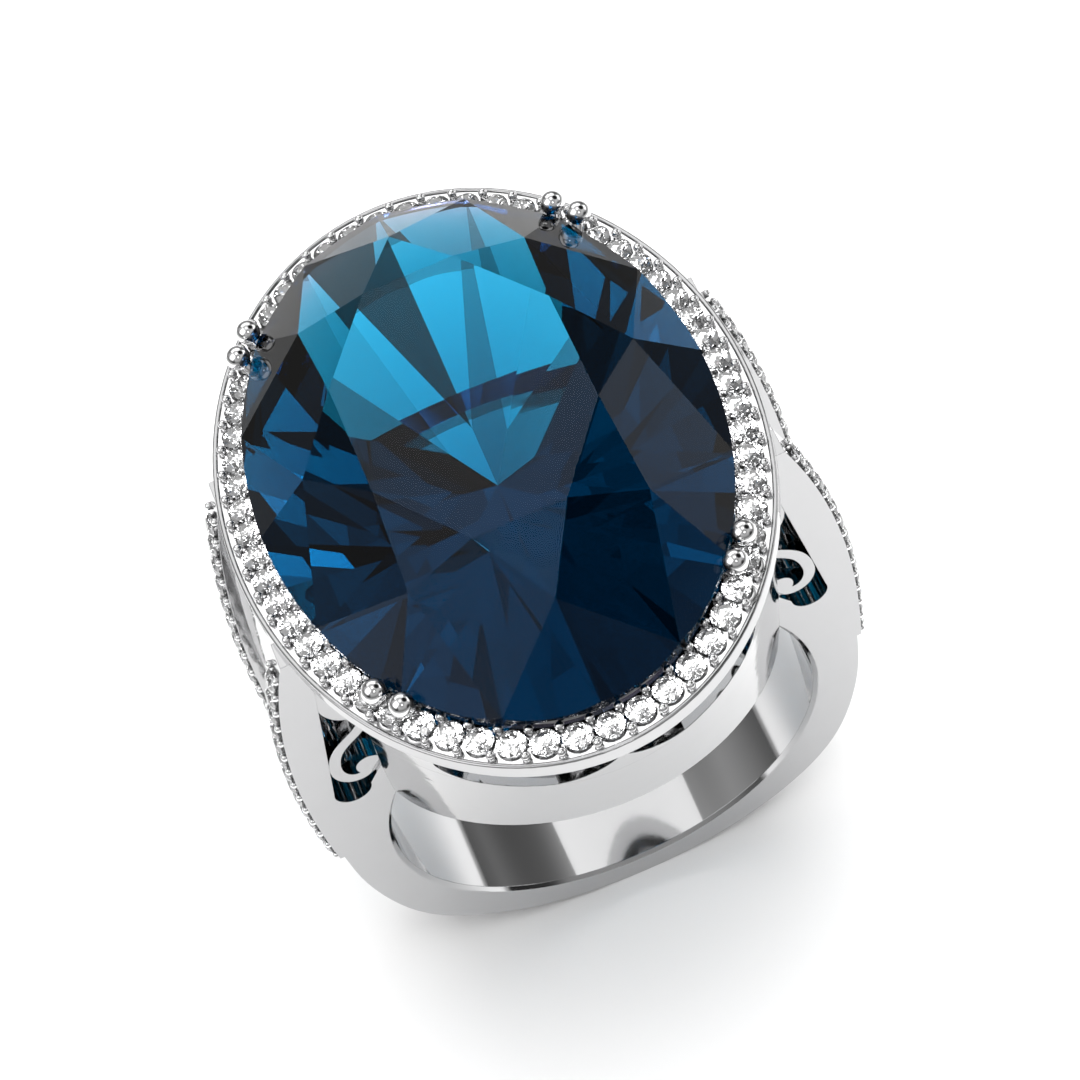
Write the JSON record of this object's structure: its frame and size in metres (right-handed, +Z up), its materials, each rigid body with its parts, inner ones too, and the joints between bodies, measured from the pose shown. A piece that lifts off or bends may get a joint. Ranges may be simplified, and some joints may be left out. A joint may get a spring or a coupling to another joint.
{
  "type": "cocktail ring",
  "caption": "Oval blue gemstone cocktail ring with a diamond halo, paired ball claws and a tapered pavé split-shoulder shank.",
  "frame": {"origin": "lowest point of the shank, on the centre line of the ring", "axes": "+Z up through the centre stone, the finger passes along Y, the front faces -Y, +X across the shoulders"},
  "size_m": [0.0226, 0.0272, 0.0292],
  "materials": {
    "white_gold": "rhodium-white mirror polish",
    "diamond": "brilliant cut, polished",
    "blue_stone": "deep blue faceted gemstone, polished"
  },
  "bodies": {
    "root": {"apron_back": "white_gold", "apron_front": "white_gold", "centre_stone": "blue_stone", "claws_back_left": "white_gold", "claws_back_right": "white_gold", "claws_front_left": "white_gold", "claws_front_right": "white_gold", "gallery_back": "white_gold", "gallery_front": "white_gold", "halo_beads_inner": "white_gold", "halo_beads_outer": "white_gold", "halo_diamonds": "diamond", "halo_plate": "white_gold", "halo_rim": "white_gold", "leaf_back_left": "white_gold", "leaf_back_right": "white_gold", "leaf_front_left": "white_gold", "leaf_front_right": "white_gold", "scroll_back_left": "white_gold", "scroll_back_right": "white_gold", "scroll_front_left": "white_gold", "scroll_front_right": "white_gold", "seat_ring": "white_gold", "shank": "white_gold", "shoulder_beads_back_left": "white_gold", "shoulder_beads_back_right": "white_gold", "shoulder_beads_front_left": "white_gold", "shoulder_beads_front_right": "white_gold", "shoulder_diamonds_back_left": "diamond", "shoulder_diamonds_back_right": "diamond", "shoulder_diamonds_front_left": "diamond", "shoulder_diamonds_front_right": "diamond"}
  },
  "joints": []
}
